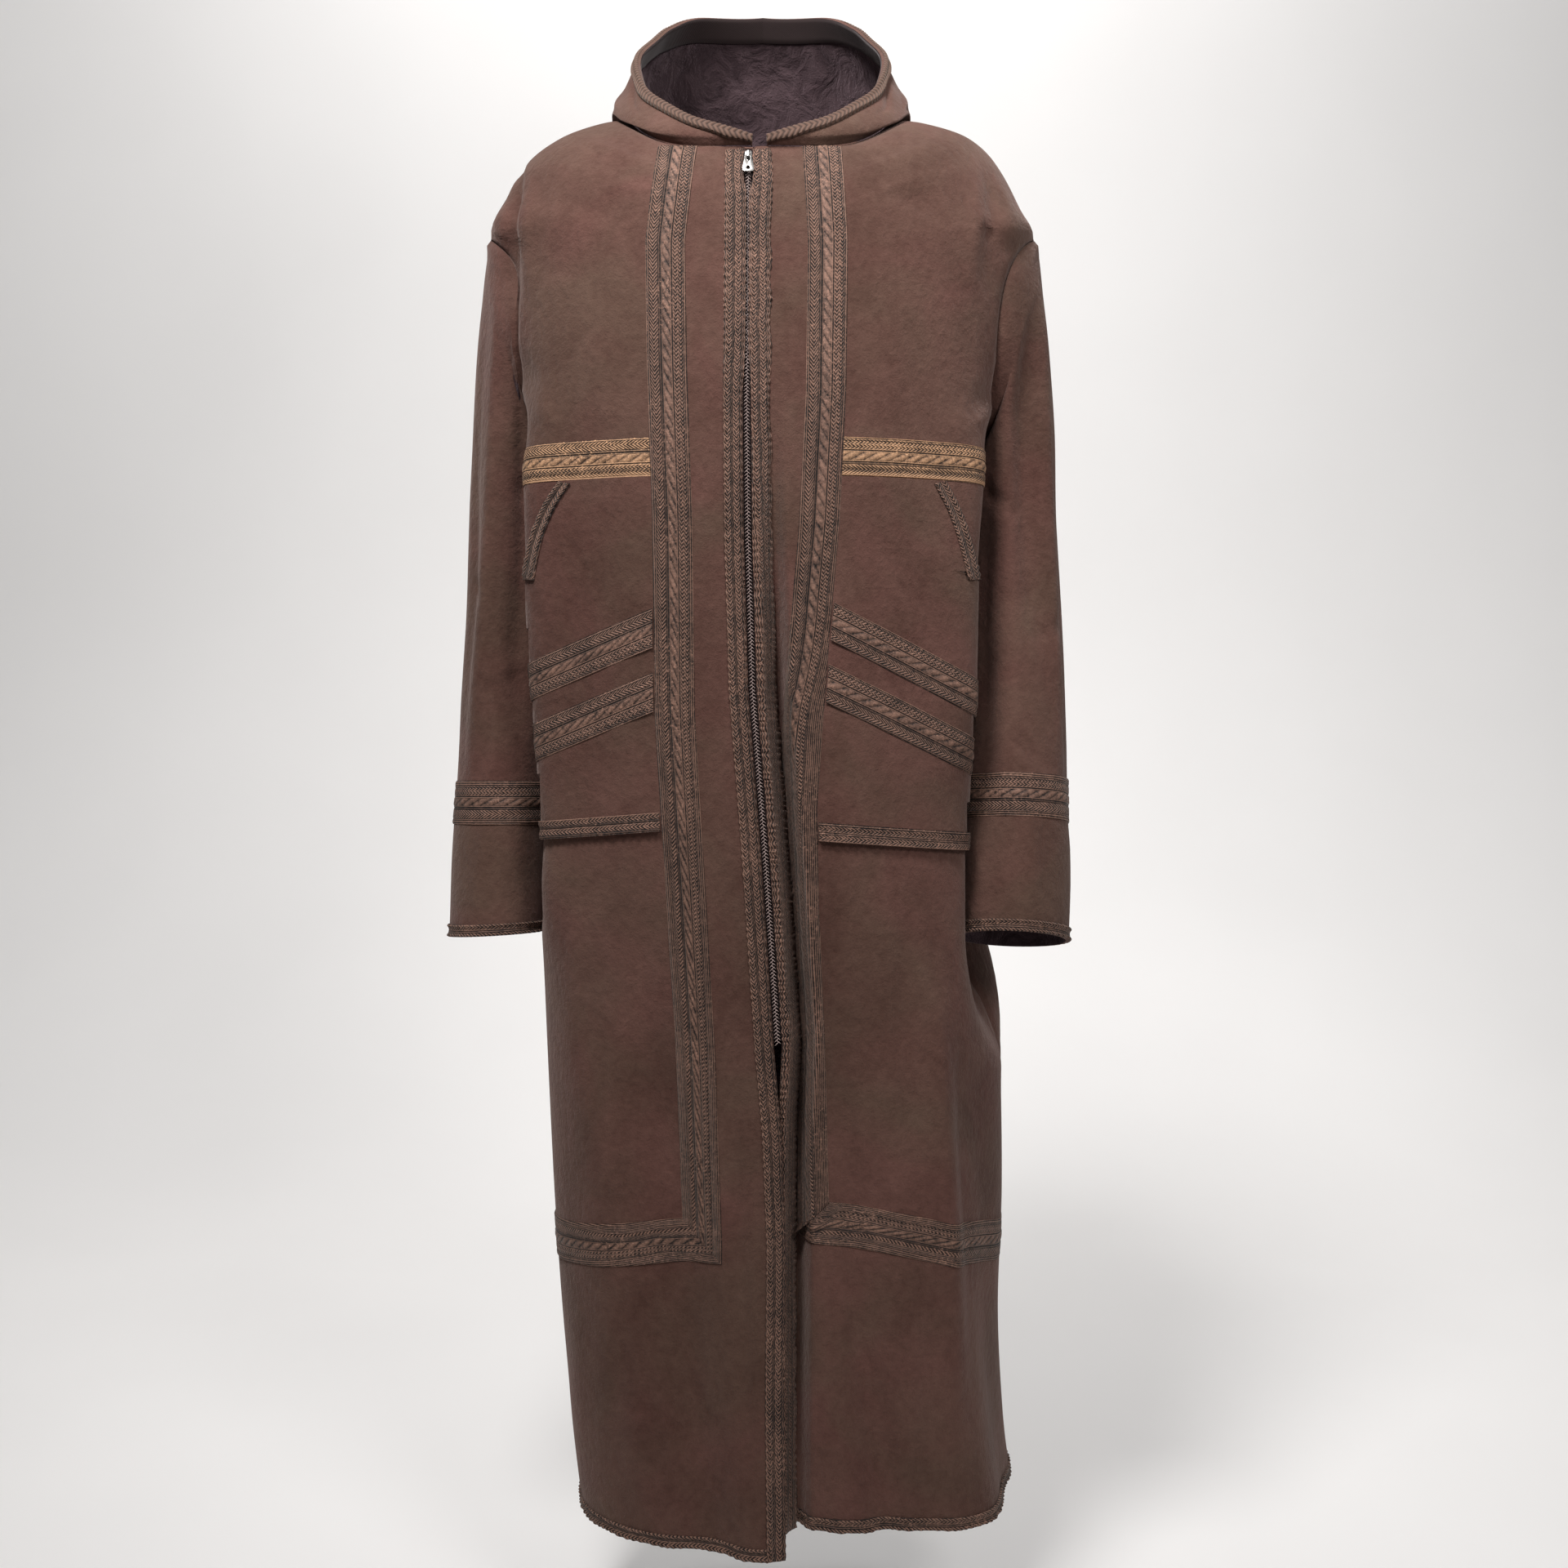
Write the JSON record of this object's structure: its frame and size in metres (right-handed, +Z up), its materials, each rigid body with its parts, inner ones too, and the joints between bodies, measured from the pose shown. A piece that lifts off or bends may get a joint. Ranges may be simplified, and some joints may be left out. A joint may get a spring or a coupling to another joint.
{
  "type": "hooded fleece abaya",
  "caption": "Full-length hooded abaya of suede-faced fleece with a front zip, patch pockets and woven braid trim, in its worn shape.",
  "frame": {"origin": "centre of the neck base, level with the tops of the shoulders", "axes": "+Z up; the wearer faces -Y and the wearer's left hand is on the +X side"},
  "size_m": [0.6059, 0.333, 1.513],
  "materials": {
    "suede": "suede-faced fleece with a soft nap",
    "braid": "woven braid",
    "chest_braid": "woven braid, lighter",
    "facing": "plain dark facing",
    "zip_tape": "woven tape",
    "zip_coil": "nylon coil",
    "zip_metal": "plated zinc"
  },
  "bodies": {
    "garment": {"front_right": "suede", "front_left": "suede", "back": "suede", "sleeve_right": "suede", "sleeve_left": "suede", "hood_right": "suede", "hood_left": "suede", "pocket_right": "suede", "pocket_left": "suede", "front_braid_right": "braid", "front_braid_left": "braid", "long_band_right": "braid", "long_band_left": "braid", "lower_band_right": "braid", "lower_band_left": "braid", "lower_band_back": "braid", "chest_band_right": "chest_braid", "chest_band_left": "chest_braid", "pocket_mouth_braid_right": "braid", "pocket_mouth_braid_left": "braid", "pocket_hem_band_right": "braid", "pocket_hem_band_left": "braid", "slant_band_upper_right": "braid", "slant_band_upper_left": "braid", "slant_band_lower_right": "braid", "slant_band_lower_left": "braid", "hem_braid_right": "braid", "hem_braid_left": "braid", "hem_braid_back": "braid", "cuff_braid_right": "braid", "cuff_braid_left": "braid", "sleeve_band_right": "braid", "sleeve_band_left": "braid", "hood_braid_right": "braid", "hood_braid_left": "braid", "hood_facing_right": "facing", "hood_facing_left": "facing", "zip_tape_right": "zip_tape", "zip_tape_left": "zip_tape", "zip_coil": "zip_coil", "slider": "zip_metal"},
    "pull": {"pull": "zip_metal"}
  },
  "joints": [
    {"name": "pull_hinge", "type": "hinge", "parent": "garment", "child": "pull", "pos_m": [-0.0101, -0.10361, -0.06953], "axis": [-1, 0, 0], "range_deg": [0, 150]}
  ]
}
